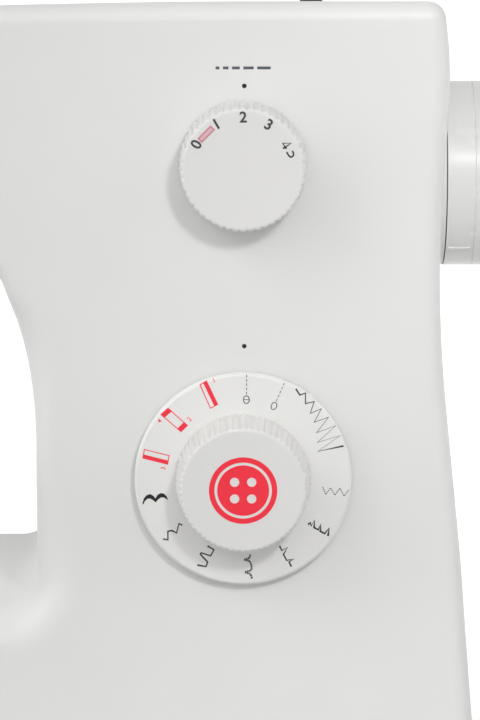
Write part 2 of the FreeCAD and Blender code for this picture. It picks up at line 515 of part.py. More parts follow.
# ---------------------------------------------------------------- cast inner frame
Y_TAKE, Z_TAKE = -28.0, 235.0
Z_SWING = 268.6
Z_LIFT = 180.0
cast = fuse(
    box(40, 140, 38, 44, 20, 262), box(-126, 140, 38, 44, 224, 262),
    box(-127, -115, -18, 44, 219, 247), box(120, 134, -20, 44, 218, 248),
    box(-158, -126, 30, 44, 196, 262),
    box(-155, -145, 4.5, 32, 256, 264), box(-155, -145, 4.5, 32, 196, 203),
    box(-163.5, -161, -34, 36, 227, 243), box(-163.5, -150, 32, 36, 227, 243),
    cyl("x", (Y_TAKE, Z_TAKE), 3.0, -170.5, -161.0),
    cyl("y", (X_NEEDLE, Z_SWING), 2.5, -10.0, 5.0), box(-155, -145, 3.0, 6.5, 256, 272.6),
    cyl("y", (X_NEEDLE, Z_LIFT), 2.5, 17.0, 32.0), box(-155, -145, 30, 36, 174, 200),
    low(fuse(
        box(-170, 60, 18, 28, 42, 56), box(40, 60, 18, 44, 40, 62), box(-121, -111, -30, 28, 42, 62), box(50, 62, -32, 44, 41, 63),
        box(-160, -140, -30, 28, 63.9, 65.9), box(-160, -140, 18, 28, 42, 65.9), box(-174, -166, 20, 28, 42, 84.2), box(-134, -126, 20, 28, 42, 84.2))),
    box(84, 88, -14, 44, 38, 88), box(40, 140, 28, 44, 7.0, 24),
    box(98, 146, 2, 44, 267.5, 271.7), box(98, 146, 38, 44, 258, 271.7),
    box(112, 117, -56, 30, 7.0, 11), box(147, 152, -56, 30, 7.0, 11), box(112, 152, 24, 36, 7.0, 11),
    box(112, 117, -56, -44, 7.0, 36.5), box(147, 152, -56, -44, 7.0, 36.5))
cast = cut(
    cast,
    cyl("x", (Y_SHAFT, Z_SHAFT), 9.0, -130, -110), cyl("x", (Y_SHAFT, Z_SHAFT), 9.0, 115, 140),
    cyl("x", (Y_HOOK, Z_LOWER), 6.0, -125, -105), cyl("x", (Y_HOOK, Z_LOWER), 6.0, 45, 65),
    cyl("z", (X_NEEDLE, Y_PRESSER), 3.0 + RUN, 190, 270), cyl("z", (X_NEEDLE, Y_HOOK), 2.5 + RUN, 60 + BED, 70 + BED),
    rbox(112.5, 131.5, 5.5, 14.5, 264, 276, 4.0), cyl("x", (Y_REV, Z_REV), 2.5 + RUN, 105, 160),
    cyl("z", (-170.0, 24.0), 2.05, 74 + BED, 90), cyl("z", (-130.0, 24.0), 2.05, 74 + BED, 90))
for wx in (-96, -56, -16, 24, 66):                     # lightening holes in the arm beam
    cast = cast.cut(rbox(wx - 14, wx + 14, 30, 50, 231, 255, 8, "xz"))
for wz in (110, 150, 190):
    cast = cast.cut(rbox(58, 122, 30, 50, wz - 14, wz + 14, 8, "xz"))
out("frame_casting", cast)
out("base_tray", tray)

# ---------------------------------------------------------------- main shaft line
out("main_shaft", cyl("x", (Y_SHAFT, Z_SHAFT), 5.5, -129.0, 188.0))
out("shaft_bushes",
    tube("x", (Y_SHAFT, Z_SHAFT), 9.0, 5.5 + RUN, -127, -115), tube("x", (Y_SHAFT, Z_SHAFT), 9.0, 5.5 + RUN, 120, 134),
    tube("x", (Y_HOOK, Z_LOWER), 6.0, 4.0 + RUN, -121, -111), tube("x", (Y_HOOK, Z_LOWER), 6.0, 4.0 + RUN, 50, 62))


def pulley(c, r, rim, bore, x0, x1, t):
    return spin_outline("x", c, [(x0, rim), (x0 + t, rim), (x0 + t, r), (x1 - t, r), (x1 - t, rim), (x1, rim), (x1, bore), (x0, bore)])


out("drive_pulley", pulley((Y_SHAFT, Z_SHAFT), 28.0, 30.5, 5.5, 142.6, 150.8, 1.2))
out("upper_timing_pulley", pulley((Y_SHAFT, Z_SHAFT), 14.0, 16.5, 5.5, 70.0, 82.0, 1.4))
out("lower_timing_pulley", pulley((Y_HOOK, Z_LOWER), 14.0, 16.5, 4.0, 70.0, 82.0, 1.4))
crank = fuse(
    cyl("x", (Y_SHAFT, Z_SHAFT), 9.0, -136, -129), cyl("x", (Y_SHAFT, Z_SHAFT + CRANK), 6.0, -136, -129),
    rbox(-136, -129, Y_SHAFT - 6, Y_SHAFT + 6, Z_SHAFT, Z_SHAFT + CRANK, 0.5, "yz"),
    cyl("x", (Y_SHAFT, Z_SHAFT), 20.0, -135.0, -130.0).common(box(-140, -120, -40, 40, 200, Z_SHAFT)),
    cyl("x", (Y_SHAFT, Z_SHAFT + CRANK), 3.0, -145.0, -136.0))
out("needle_crank", crank)
rod = fuse(
    cyl("x", (Y_SHAFT, Z_SHAFT + CRANK), 6.5, -143.5, -138.5), cyl("x", (Y_SHAFT, Z_SHAFT + CRANK - ROD), 5.5, -143.5, -138.5),
    box(-142.8, -139.2, Y_SHAFT - 3.2, Y_SHAFT + 3.2, Z_SHAFT + CRANK - ROD, Z_SHAFT + CRANK))
out("connecting_rod", cut(rod, cyl("x", (Y_SHAFT, Z_SHAFT + CRANK), 3.0 + RUN, -150, -130), cyl("x", (Y_SHAFT, Z_SHAFT + CRANK - ROD), 3.0, -150, -130)))

# ---------------------------------------------------------------- motor and belts
out("motor_body", fuse(
    cyl("x", (Y_MOTOR, Z_MOTOR), 23.0, 88.0, 134.0), cone("x", (Y_MOTOR, Z_MOTOR), 20.0, 10.0, 134.0, 138.0)).cut(cyl("x", (Y_MOTOR, Z_MOTOR), 3.0 + RUN, 120, 140)))
out("motor_shaft", fuse(cyl("x", (Y_MOTOR, Z_MOTOR), 3.0, 122.0, 153.0), pulley((Y_MOTOR, Z_MOTOR), 6.0, 8.0, 2.0, 142.6, 150.8, 1.2)))


def loop(c1, r1, c2, r2, lo, hi):
    """Solid bounded by two circles and their outer tangents, across x."""
    d = math.hypot(c2[0] - c1[0], c2[1] - c1[1])
    phi = math.atan2(c2[1] - c1[1], c2[0] - c1[0])
    al = math.acos((r1 - r2) / d)

    def p(c, r, a):
        return V(lo, c[0] + r * math.cos(a), c[1] + r * math.sin(a))

    a1, b1, m1 = p(c1, r1, phi + al), p(c1, r1, phi - al), p(c1, r1, phi + math.pi)
    a2, b2, m2 = p(c2, r2, phi + al), p(c2, r2, phi - al), p(c2, r2, phi)
    w = Part.Wire([Part.Arc(a1, m1, b1).toShape(), Part.LineSegment(b1, b2).toShape(), Part.Arc(b2, m2, a2).toShape(), Part.LineSegment(a2, a1).toShape()])
    return Part.Face(w).extrude(V(hi - lo, 0, 0))


def belt(c1, r1, c2, r2, t, lo, hi):
    return loop(c1, r1 + t, c2, r2 + t, lo, hi).cut(loop(c1, r1, c2, r2, lo - 1, hi + 1))


out("motor_belt", belt((Y_MOTOR, Z_MOTOR), 6.35, (Y_SHAFT, Z_SHAFT), 28.35, 1.8, 144.2, 149.2))
out("timing_belt", belt((Y_HOOK, Z_LOWER), 14.35, (Y_SHAFT, Z_SHAFT), 14.35, 1.8, 71.8, 80.2))

# ---------------------------------------------------------------- hook drive
M_BEV = 0.88         # bevel module
APEX = V(X_NEEDLE, Y_HOOK, Z_LOWER)
L_IN, L_OUT = 8.4, 11.8


def bevel(n, half, axis_z, back, first):
    """Straight bevel gear, apex at the origin, axis +Z; back = extra (height, radius) points of the blank."""
    ded, add = math.atan(1.1 * M_BEV / L_OUT), math.atan(0.62 * M_BEV / L_OUT)
    root = half - ded
    pts = [(L_IN * math.cos(root), L_IN * math.sin(root)), (L_OUT * math.cos(root), L_OUT * math.sin(root))] + back
    blank = spin_outline("z", (0, 0), [(pts[0][0], 0)] + pts)
    solids = [blank]
    pitch = 2 * math.pi / n

    def pt(l, ang, az):
        return V(l * math.sin(ang) * math.cos(az), l * math.sin(ang) * math.sin(az), l * math.cos(ang))

    for k in range(n):
        az = first + k * pitch
        rows = []
        for l in (L_IN, L_OUT):
            rr = root - 0.03
            wr, wt = 0.27 * pitch, 0.11 * pitch
            rows.append([pt(l, rr, az - wr), pt(l, rr, az + wr), pt(l, half + add, az + wt), pt(l, half + add, az - wt)])
        a, b = rows
        quads = [a[::-1], b] + [[a[i], a[(i + 1) % 4], b[(i + 1) % 4], b[i]] for i in range(4)]
        faces = [Part.Face(Part.makePolygon(q + [q[0]])) for q in quads]
        s = Part.Solid(Part.Shell(faces))
        if s.Volume < 0:
            s.reverse()
        solids.append(s)
    g = solids[0].multiFuse(solids[1:]).removeSplitter()
    return g


half_g = math.atan(2.0)
gear = bevel(24, half_g, None, [(8.4, L_OUT * math.sin(half_g - 0.08)), (8.4, 6.5), (18.0, 6.5), (18.0, 0)], 0.0)
gear.rotate(V(0, 0, 0), V(0, 1, 0), 90)            # axis to +X
gear.translate(APEX)
out("bevel_gear", gear)
pin = bevel(12, math.atan(0.5), None, [(11.6, L_OUT * math.sin(math.atan(0.5) - 0.08)), (11.6, 2.5), (14.5, 2.5), (14.5, 0)], math.pi / 12)
pin.translate(APEX)
out("lower_shaft", cyl("x", (Y_HOOK, Z_LOWER), 4.0, X_NEEDLE + 18.0, 86.0))
hook = spin_outline("z", (X_NEEDLE, Y_HOOK), [(66.5, 0), (66.5, 14.5), (68.0, 16.2), (80.0, 16.2), (80.0, 14.9), (68.3, 14.9), (68.3, 0)])
hook = hook.cut(box(X_NEEDLE + 3, X_NEEDLE + 12, Y_HOOK + 4, Y_HOOK + 20, 74.0, 90.0)).cut(box(X_NEEDLE - 13, X_NEEDLE - 8, Y_HOOK - 20, Y_HOOK - 4, 71.0, 90.0))
out("shuttle_hook", low(hook), pin)
case = fuse(
    spin_outline("z", (X_NEEDLE, Y_HOOK), [(68.8, 0), (68.8, 14.4), (82.4, 14.4), (82.4, 12.2), (70.0, 12.2), (70.0, 2.6), (79.0, 2.6), (79.0, 0)]),
    box(X_NEEDLE - 3, X_NEEDLE + 3, Y_HOOK - 18.5, Y_HOOK - 13.0, 80.9, 82.4))
out("bobbin_case", low(case))
out("bobbin", low(spin_outline("z", (X_NEEDLE, Y_HOOK), [(70.4, 2.65), (70.4, 10.4), (71.4, 10.4), (71.4, 8.6), (80.2, 8.6), (80.2, 10.4), (81.2, 10.4), (81.2, 2.65)])))

# ---------------------------------------------------------------- needle bar and its swinging frame
swing = fuse(
    box(-160, -157, -9, 1, 160.5, 272.6), cyl("y", (X_NEEDLE, Z_SWING), 6.0, -9, 1), box(-160, -150, -9, 1, 264.6, 272.6),
    box(-159, -145.2, -9, 1, 224, 232), box(-159, -145.2, -9, 1, 161, 166.3))
out("needle_swing_frame", cut(swing, cyl("y", (X_NEEDLE, Z_SWING), 2.5 + RUN, -20, 20), cyl("z", (X_NEEDLE, Y_NEEDLE), 3.25 + RUN, 150, 240)))
out("needle_bar", fuse(cyl("z", (X_NEEDLE, Y_NEEDLE), 3.25, 146.0 + BED, 262.0), cyl("z", (X_NEEDLE, Y_NEEDLE), 5.0, 197.5, 206.5), cyl("x", (Y_NEEDLE, Z_SHAFT + CRANK - ROD), 2.4, -150, -145.1)))
clamp = fuse(cyl("z", (X_NEEDLE, Y_NEEDLE), 4.0, 134.0, 146.0), cyl("x", (Y_NEEDLE, 139.0), 1.5, -147, -141.0), cyl("x", (Y_NEEDLE, 139.0), 3.2, -141.0, -136.0), box(-152, -148, -10.5, -7, 135.2, 136.4))
out("needle_clamp", low(clamp.cut(cyl("z", (X_NEEDLE, Y_NEEDLE), 1.0, 130, 144))))
out("needle", low(fuse(cyl("z", (X_NEEDLE, Y_NEEDLE), 1.0, 122.0, 144.0), cone("z", (X_NEEDLE, Y_NEEDLE), 0.5, 1.0, 120.0, 122.0), cyl("z", (X_NEEDLE, Y_NEEDLE), 0.5, 107.0, 120.0), cone("z", (X_NEEDLE, Y_NEEDLE), 0.08, 0.5, 103.5, 107.0)).cut(rbox(-152, -148, Y_NEEDLE - 0.2, Y_NEEDLE + 0.2, 108.5, 110.0, 0.18, "yz"))))

# ---------------------------------------------------------------- take-up lever
take = fuse(
    cyl("x", (Y_TAKE, Z_TAKE), 6.0, -168.0, -165.6),
    prism([(Y_TAKE, Z_TAKE - 4.5, 0), (Y_TAKE, Z_TAKE + 4.5, 0), (-72.0, Z_TAKE + 3.2, 2.6), (-76.0, Z_TAKE + 3.2, 2.6), (-76.0, Z_TAKE - 2.4, 2.4)], "yz", -168.0, -165.6))
take = cut(take, cyl("x", (Y_TAKE, Z_TAKE), 3.0 + RUN, -180, -150), cyl("x", (-72.4, Z_TAKE + 0.4), 1.3, -180, -150))
out("takeup_lever", turned(take, (0, Y_TAKE, Z_TAKE), (1, 0, 0), -25))

# ---------------------------------------------------------------- presser bar, foot and lifter
out("presser_bar", fuse(cyl("z", (X_NEEDLE, Y_PRESSER), 3.0, 112.0 + BED, 268.0), cyl("z", (X_NEEDLE, Y_PRESSER), 5.5, 205.5, 212.0), box(-153.5, -146.5, 6.0, 17.0, 182.0, 188.0)))
out("presser_spring", tube("z", (X_NEEDLE, Y_PRESSER), 5.2, 3.5, 212.2, 255.8))
ankle = fuse(box(-153.5, -146.5, 4.2, 14.2, 96.5, 112.0), box(-151.4, -148.6, 6.0, 12.0, 90.6, 97.0), cyl("x", (9.2, 105.0), 1.8, -158.0, -153.0), cyl("x", (9.2, 105.0), 4.4, -163.5, -157.0))
out("foot_ankle", low(ankle.cut(cyl("x", (9.0, 93.2), 1.5 + RUN, -160, -140))))
sole = prism([(-16.0, 91.4, 0.2), (-10.0, 87.5, 2.0), (14.0, 87.5, 0.6), (14.0, 89.4, 0.6), (-9.4, 89.4, 3.0), (-16.0, 93.4, 0.5)], "yz", -159.0, -141.0)
sole = cut(sole, box(-154.0, -146.0, -5.6, -2.2, 80, 100), box(-151.2, -148.8, -30, -5, 80, 100))
sole = fuse(sole, rbox(-154.8, -152.0, 5.6, 12.4, 88.4, 96.0, 2.4, "yz"), rbox(-148.0, -145.2, 5.6, 12.4, 88.4, 96.0, 2.4, "yz"), cyl("x", (9.0, 93.2), 1.5, -154.0, -146.0))
out("presser_foot", low(sole))
lifter = fuse(
    cyl("y", (X_NEEDLE, Z_LIFT), 5.2, 17.5, 21.5), rbox(-152.6, -147.4, 17.5, 21.5, 136, 180, 1.0, "xz"),
    rbox(-154.5, -145.5, 16.2, 22.8, 124, 142, 3.0, "xz"))
out("presser_lifter", lifter.cut(cyl("y", (X_NEEDLE, Z_LIFT), 2.5 + RUN, 10, 30)))

# ---------------------------------------------------------------- feed dog
feed = fuse(
    box(-158.0, -153.6, -1.5, 8.0, 74.0, 79.0), box(-146.4, -142.0, -1.5, 8.0, 74.0, 79.0), box(-158.0, -142.0, 6.0, 18.0, 74.0, 79.0),
    box(-157.2, -154.8, -1.5, 14.0, 78.0, 86.2), box(-145.2, -142.8, -1.5, 14.0, 78.0, 86.2), box(-154.0, -146.0, 9.0, 18.0, 66.4, 75.0))
for k in range(10):                                     # saw-toothed gripping rows
    y = -1.5 + 1.5 * k
    for x0 in (-157.2, -145.2):
        feed = feed.fuse(prism([(y, 86.0, 0), (y + 1.5, 86.0, 0), (y + 1.5, 86.2, 0), (y + 0.75, 86.85, 0), (y, 86.2, 0)], "yz", x0, x0 + 2.4))
out("feed_dog", low(feed.removeSplitter()))
print(len(DONE), "pieces")
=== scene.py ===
import bpy, bmesh, json, math
from mathutils import Matrix, Vector


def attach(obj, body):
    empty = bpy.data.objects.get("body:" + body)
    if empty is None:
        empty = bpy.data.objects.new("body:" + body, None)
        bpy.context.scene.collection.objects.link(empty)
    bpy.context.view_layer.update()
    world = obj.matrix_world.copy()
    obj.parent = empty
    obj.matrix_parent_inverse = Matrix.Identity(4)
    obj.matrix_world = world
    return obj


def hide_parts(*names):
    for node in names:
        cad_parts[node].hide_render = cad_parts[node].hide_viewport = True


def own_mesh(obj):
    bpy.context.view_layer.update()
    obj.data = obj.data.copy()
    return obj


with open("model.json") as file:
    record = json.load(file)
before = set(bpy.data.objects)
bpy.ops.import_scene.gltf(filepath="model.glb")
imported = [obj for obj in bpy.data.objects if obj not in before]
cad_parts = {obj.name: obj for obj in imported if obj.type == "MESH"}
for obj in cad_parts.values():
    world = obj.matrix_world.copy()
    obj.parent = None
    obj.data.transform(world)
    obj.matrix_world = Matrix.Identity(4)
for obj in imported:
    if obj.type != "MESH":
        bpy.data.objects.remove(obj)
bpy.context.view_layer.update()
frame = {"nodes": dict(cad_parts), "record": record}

N = frame["nodes"]
MM = 0.001
DY = 10.5                      # the row frame's y, less the drawing's y, in mm


def P(x, y, z):
    """A drawing point in mm as a row-frame point in metres."""
    return Vector((x * MM, (y + DY) * MM, z * MM))


# ------------------------------------------------------------------ materials
def tree(name):
    m = bpy.data.materials.new(name)
    m.use_nodes = True
    nt = m.node_tree
    nt.nodes.clear()
    o = nt.nodes.new("ShaderNodeOutputMaterial")
    b = nt.nodes.new("ShaderNodeBsdfPrincipled")
    nt.links.new(b.outputs[0], o.inputs[0])
    co = nt.nodes.new("ShaderNodeTexCoord")
    return m, nt, b, co


def noise(nt, co, scale, detail=3.0, rough=0.55, stretch=None):
    src = co.outputs["Object"]
    if stretch:
        mp = nt.nodes.new("ShaderNodeMapping")
        mp.inputs["Scale"].default_value = stretch
        nt.links.new(src, mp.inputs["Vector"])
        src = mp.outputs[0]
    n = nt.nodes.new("ShaderNodeTexNoise")
    n.inputs["Scale"].default_value = scale
    n.inputs["Detail"].default_value = detail
    n.inputs["Roughness"].default_value = rough
    nt.links.new(src, n.inputs["Vector"])
    return n.outputs["Fac"]


def ramp(nt, fac, lo, hi, a=0.3, b=0.7):
    r = nt.nodes.new("ShaderNodeValToRGB")
    r.color_ramp.elements[0].position = a
    r.color_ramp.elements[1].position = b
    r.color_ramp.elements[0].color = (*lo, 1)
    r.color_ramp.elements[1].color = (*hi, 1)
    nt.links.new(fac, r.inputs[0])
    return r.outputs[0]


def span(nt, fac, lo, hi):
    r = nt.nodes.new("ShaderNodeMapRange")
    r.inputs["From Min"].default_value = 0.3
    r.inputs["From Max"].default_value = 0.7
    r.inputs["To Min"].default_value = lo
    r.inputs["To Max"].default_value = hi
    nt.links.new(fac, r.inputs[0])
    return r.outputs[0]


def bump(nt, b, fac, dist, strength=1.0, chain=None):
    n = nt.nodes.new("ShaderNodeBump")
    n.inputs["Strength"].default_value = strength
    n.inputs["Distance"].default_value = dist
    nt.links.new(fac, n.inputs["Height"])
    if chain is not None:
        nt.links.new(chain, n.inputs["Normal"])
    nt.links.new(n.outputs[0], b.inputs["Normal"])
    return n.outputs[0]


def plastic(name, col, vary=0.012, rough=(0.28, 0.36), peel=900.0, depth=6e-6, coat=0.0, spec=0.5, grain=None):
    """Moulded plastic: slow drift of shade, slight gloss variation, and a fine moulded skin."""
    m, nt, b, co = tree(name)
    lo = tuple(max(0.0, c * (1 - vary)) for c in col)
    hi = tuple(min(1.0, c * (1 + vary)) for c in col)
    nt.links.new(ramp(nt, noise(nt, co, 14.0, 2.0), lo, hi), b.inputs["Base Color"])
    nt.links.new(span(nt, noise(nt, co, 55.0, 3.0), *rough), b.inputs["Roughness"])
    c = bump(nt, b, noise(nt, co, peel, 2.0), depth)
    bump(nt, b, noise(nt, co, 45.0, 1.0), 1.2e-5, 0.5, c)
    if grain:
        bump(nt, b, noise(nt, co, grain[0], 2.0), grain[1], 1.0, c)
    b.inputs["Specular IOR Level"].default_value = spec
    if coat:
        b.inputs["Coat Weight"].default_value = coat
        b.inputs["Coat Roughness"].default_value = 0.12
    return m


def metal(name, col, rough=(0.18, 0.3), lines=None, dist=2e-6, vary=0.06):
    """Bright metal with fine machining lines along one direction and faint tarnish."""
    m, nt, b, co = tree(name)
    b.inputs["Metallic"].default_value = 1.0
    lo = tuple(c * (1 - vary) for c in col)
    nt.links.new(ramp(nt, noise(nt, co, 90.0, 4.0), lo, col), b.inputs["Base Color"])
    st = lines or (1, 1, 1)
    nt.links.new(span(nt, noise(nt, co, 800.0, 3.0, 0.6, st), *rough), b.inputs["Roughness"])
    bump(nt, b, noise(nt, co, 1400.0, 3.0, 0.6, st), dist)
    return m


def rubber(name, col, rough=(0.6, 0.75)):
    m, nt, b, co = tree(name)
    lo = tuple(c * 0.8 for c in col)
    nt.links.new(ramp(nt, noise(nt, co, 120.0, 4.0), lo, col), b.inputs["Base Color"])
    nt.links.new(span(nt, noise(nt, co, 300.0, 3.0), *rough), b.inputs["Roughness"])
    bump(nt, b, noise(nt, co, 1800.0, 3.0), 2.5e-5)
    return m


def clear(name, col, rough=(0.04, 0.1), depth=4e-6):
    m, nt, b, co = tree(name)
    nt.links.new(ramp(nt, noise(nt, co, 40.0, 2.0), tuple(c * 0.97 for c in col), col), b.inputs["Base Color"])
    nt.links.new(span(nt, noise(nt, co, 200.0, 3.0), *rough), b.inputs["Roughness"])
    b.inputs["Transmission Weight"].default_value = 0.92
    b.inputs["IOR"].default_value = 1.49
    bump(nt, b, noise(nt, co, 260.0, 2.0), depth)
    return m


def ink(name, col, rough=(0.35, 0.5), thin=0.86):
    """Pad-printed ink: almost flat, with the slight break-up of a thin printed film."""
    m, nt, b, co = tree(name)
    lo = tuple(c * thin for c in col)
    nt.links.new(ramp(nt, noise(nt, co, 1500.0, 3.0), lo, col), b.inputs["Base Color"])
    nt.links.new(span(nt, noise(nt, co, 900.0, 2.0), *rough), b.inputs["Roughness"])
    bump(nt, b, noise(nt, co, 3000.0, 2.0), 3e-6)
    return m


WHITE = (0.80, 0.80, 0.785)
MAT = {
    "casing_white": plastic("shell white", WHITE, 0.012, (0.37, 0.45)),
    "wheel_white": plastic("wheel white", (0.81, 0.81, 0.795), 0.012, (0.22, 0.28), spec=0.36),
    "base_grey": plastic("base white-grey", (0.66, 0.66, 0.645), 0.03, (0.42, 0.55), 700.0, 1.6e-5),
    "dial_white": plastic("dial white", (0.765, 0.76, 0.745), 0.01, (0.3, 0.4), 1100.0, 7e-6),
    "disc_white": plastic("disc white", (0.83, 0.825, 0.81), 0.01, (0.3, 0.4), 1100.0, 7e-6),
    "foot_rubber": rubber("foot rubber", (0.035, 0.035, 0.035)),
    "cast_alloy": metal("cast alloy", (0.56, 0.57, 0.58), (0.42, 0.6), None, 3e-5, 0.12),
    "steel": metal("ground steel", (0.62, 0.62, 0.63), (0.2, 0.34), (1, 1, 0.08)),
    "chromed": metal("chromed", (0.80, 0.80, 0.81), (0.06, 0.14), None, 1e-6, 0.03),
    "bronze": metal("sintered bronze", (0.60, 0.44, 0.22), (0.35, 0.5), None, 2e-5, 0.15),
    "black_plastic": plastic("black moulding", (0.022, 0.022, 0.023), 0.2, (0.4, 0.52), 900.0, 1.4e-5),
    "motor_paint": plastic("motor enamel", (0.06, 0.062, 0.066), 0.15, (0.3, 0.45), 500.0, 1.2e-5),
    "belt_rubber": rubber("belt rubber", (0.02, 0.02, 0.02)),
    "clear_plastic": clear("clear cover", (0.93, 0.95, 0.97)),
    "lamp_clear": clear("frosted lens", (0.97, 0.96, 0.93), (0.3, 0.45), 1.5e-5),
    "nylon": plastic("natural nylon", (0.72, 0.69, 0.60), 0.04, (0.35, 0.5), 600.0, 1e-5),
    "handle_white": plastic("handle white", (0.74, 0.74, 0.72), 0.02, (0.35, 0.48), 600.0, 1.8e-5),
}
INK_DARK = ink("print dark grey", (0.055, 0.058, 0.065))
INK_LINE = ink("print line grey", (0.085, 0.085, 0.09))
INK_BLACK = ink("print black", (0.012, 0.012, 0.014))
INK_RED = ink("print red", (0.97, 0.028, 0.056), (0.35, 0.5), 0.95)
INK_PINK = ink("print rose", (0.66, 0.26, 0.33))
INK_BLUSH = ink("print blush", (0.78, 0.52, 0.55))
INK_LABEL = ink("print slate", (0.10, 0.115, 0.145))

SLOT = {s["node"]: s["material_slot"] for s in frame["record"]["subparts"]}


def paint(o, m):
    if not o.material_slots:
        o.data.materials.append(m)
    for s in o.material_slots:
        s.material = m


for name, o in N.items():
    paint(o, MAT[SLOT[name]])
paint(N["pattern_disc"], MAT["disc_white"])
paint(N["handwheel"], MAT["wheel_white"])


# ------------------------------------------------------------------ mesh helpers
def solid(name, bm, m, body, smooth=None):
    """Turn a bmesh into a scene piece that rides on a body."""
    bmesh.ops.recalc_face_normals(bm, faces=bm.faces)
    me = bpy.data.meshes.new(name)
    bm.to_mesh(me)
    bm.free()
    o = bpy.data.objects.new(name, me)
    bpy.context.scene.collection.objects.link(o)
    for q in (m if isinstance(m, (list, tuple)) else [m]):
        me.materials.append(q)
    if smooth is not None:
        me.polygons.foreach_set("use_smooth", [True] * len(me.polygons))
        me.set_sharp_from_angle(angle=math.radians(smooth))
    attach(o, body)
    return o


def add_mesh(bm, me, move):
    """Append a mesh to a bmesh through a point mapping, and free it."""
    t = bmesh.new()
    t.from_mesh(me)
    for v in t.verts:
        v.co = move(v.co)
    tmp = bpy.data.meshes.new("tmp")
    t.to_mesh(tmp)
    t.free()
    bm.from_mesh(tmp)
    bpy.data.meshes.remove(tmp)


def curve_mesh(cu):
    o = bpy.data.objects.new("tmp_curve", cu)
    bpy.context.scene.collection.objects.link(o)
    dg = bpy.context.evaluated_depsgraph_get()
    dg.update()
    me = bpy.data.meshes.new_from_object(o.evaluated_get(dg))
    bpy.data.objects.remove(o)
    bpy.data.curves.remove(cu)
    return me


class Print:
    """Ink marks laid on a flat front face: u to the right, v up, in mm about a centre."""

    def __init__(self, cx, cz, yface):
        self.c = (cx, yface, cz)
        self.bm = bmesh.new()

    def at(self, u, v, w=0.0):
        return P(self.c[0] + u, self.c[1] + w, self.c[2] + v)

    def stroke(self, pts, w, closed=False, smooth=False, thick=0.045):
        """A drawn line of width w: a rounded bead of ink flattened on to the face."""
        cu = bpy.data.curves.new("line", "CURVE")
        cu.dimensions = "3D"
        cu.bevel_depth = w / 2
        cu.bevel_resolution = 2
        cu.use_fill_caps = True
        if smooth:
            sp = cu.splines.new("BEZIER")
            sp.bezier_points.add(len(pts) - 1)
            for b, (u, v) in zip(sp.bezier_points, pts):
                b.co = (u, v, 0)
                b.handle_left_type = b.handle_right_type = "AUTO"
            sp.resolution_u = 10
        else:
            sp = cu.splines.new("POLY")
            sp.points.add(len(pts) - 1)
            for b, (u, v) in zip(sp.points, pts):
                b.co = (u, v, 0, 1)
        sp.use_cyclic_u = closed
        me = curve_mesh(cu)
        k = thick / (w / 2)
        add_mesh(self.bm, me, lambda c: self.at(c.x, c.y, -c.z * k))
        bpy.data.meshes.remove(me)

    def fill(self, loops, thick=0.05):
        """A filled shape: first loop outside, the others are holes."""
        cu = bpy.data.curves.new("area", "CURVE")
        cu.dimensions = "2D"
        cu.fill_mode = "BOTH"
        cu.extrude = thick
        for lp in loops:
            sp = cu.splines.new("POLY")
            sp.points.add(len(lp) - 1)
            for b, (u, v) in zip(sp.points, lp):
                b.co = (u, v, 0, 1)
            sp.use_cyclic_u = True
        me = curve_mesh(cu)
        add_mesh(self.bm, me, lambda c: self.at(c.x, c.y, -c.z))
        bpy.data.meshes.remove(me)

    def dot(self, u, v, r, n=28):
        self.fill([[(u + r * math.cos(2 * math.pi * k / n), v + r * math.sin(2 * math.pi * k / n)) for k in range(n)]])

    def text(self, s, u, v, h, turn=0.0, bold=0.0, wide=1.0):
        """A plain figure of height h centred at (u, v), turned clockwise by turn degrees."""
        cu = bpy.data.curves.new("fig", "FONT")
        cu.body = s
        cu.size = h / 0.70
        cu.align_x = "CENTER"
        cu.extrude = 0.05
        cu.offset = bold
        cu.resolution_u = 6
        me = curve_mesh(cu)
        vs = [v_.co for v_ in me.vertices]
        cx = (max(c.x for c in vs) + min(c.x for c in vs)) / 2
        cy = (max(c.y for c in vs) + min(c.y for c in vs)) / 2
        a = math.radians(-turn)
        ca, sa = math.cos(a), math.sin(a)

        def mv(c):
            x, y = (c.x - cx) * wide, c.y - cy
            return self.at(u + x * ca - y * sa, v + x * sa + y * ca, -c.z)

        add_mesh(self.bm, me, mv)
        bpy.data.meshes.remove(me)

    def done(self, name, m, body):
        bmesh.ops.remove_doubles(self.bm, verts=self.bm.verts, dist=1e-7)
        return solid(name, self.bm, m, body)


def ring(n, r):
    return [(r * math.cos(2 * math.pi * k / n), r * math.sin(2 * math.pi * k / n)) for k in range(n)]


def lathe_y(bm, cx, cz, rows, n, wave=None):
    """Closed surface turned round an axis along y. rows: (y, radius, flute depth); ends are closed if radius is 0."""
    loops = []
    for y, r, d in rows:
        if r < 1e-6:
            loops.append([bm.verts.new(P(cx, y, cz))])
            continue
        lp = []
        for k in range(n):
            a = 2 * math.pi * k / n
            q = r - (d * wave(a) if d and wave else 0.0)
            lp.append(bm.verts.new(P(cx + q * math.sin(a), y, cz + q * math.cos(a))))
        loops.append(lp)
    for a, b in zip(loops, loops[1:]):
        for k in range(n):
            k2 = (k + 1) % n
            if len(a) == 1 and len(b) == 1:
                continue
            if len(a) == 1:
                bm.faces.new((a[0], b[k], b[k2]))
            elif len(b) == 1:
                bm.faces.new((a[k], b[0], a[k2]))
            else:
                bm.faces.new((a[k], b[k], b[k2], a[k2]))
    return loops


# ------------------------------------------------------------------ fluted dials
X_DIAL, Z_LENGTH, Z_PATTERN = 92.0, 245.0, 132.2


def flutes(n):
    """Grip of n rounded ribs with narrow valleys: 0 on a rib's crest, 1 in a valley."""
    return lambda a: 1.0 - abs(math.cos(n * a / 2)) ** 0.75


def arc_rows(y0, r0, y1, r1, k, d0, d1):
    """Quarter-round rows from the side (y0, r0) to the face (y1, r1)."""
    out = []
    for i in range(1, k + 1):
        t = math.pi / 2 * i / k
        out.append((y0 + (y1 - y0) * math.sin(t), r1 + (r0 - r1) * math.cos(t), d0 + (d1 - d0) * (i / k)))
    return out


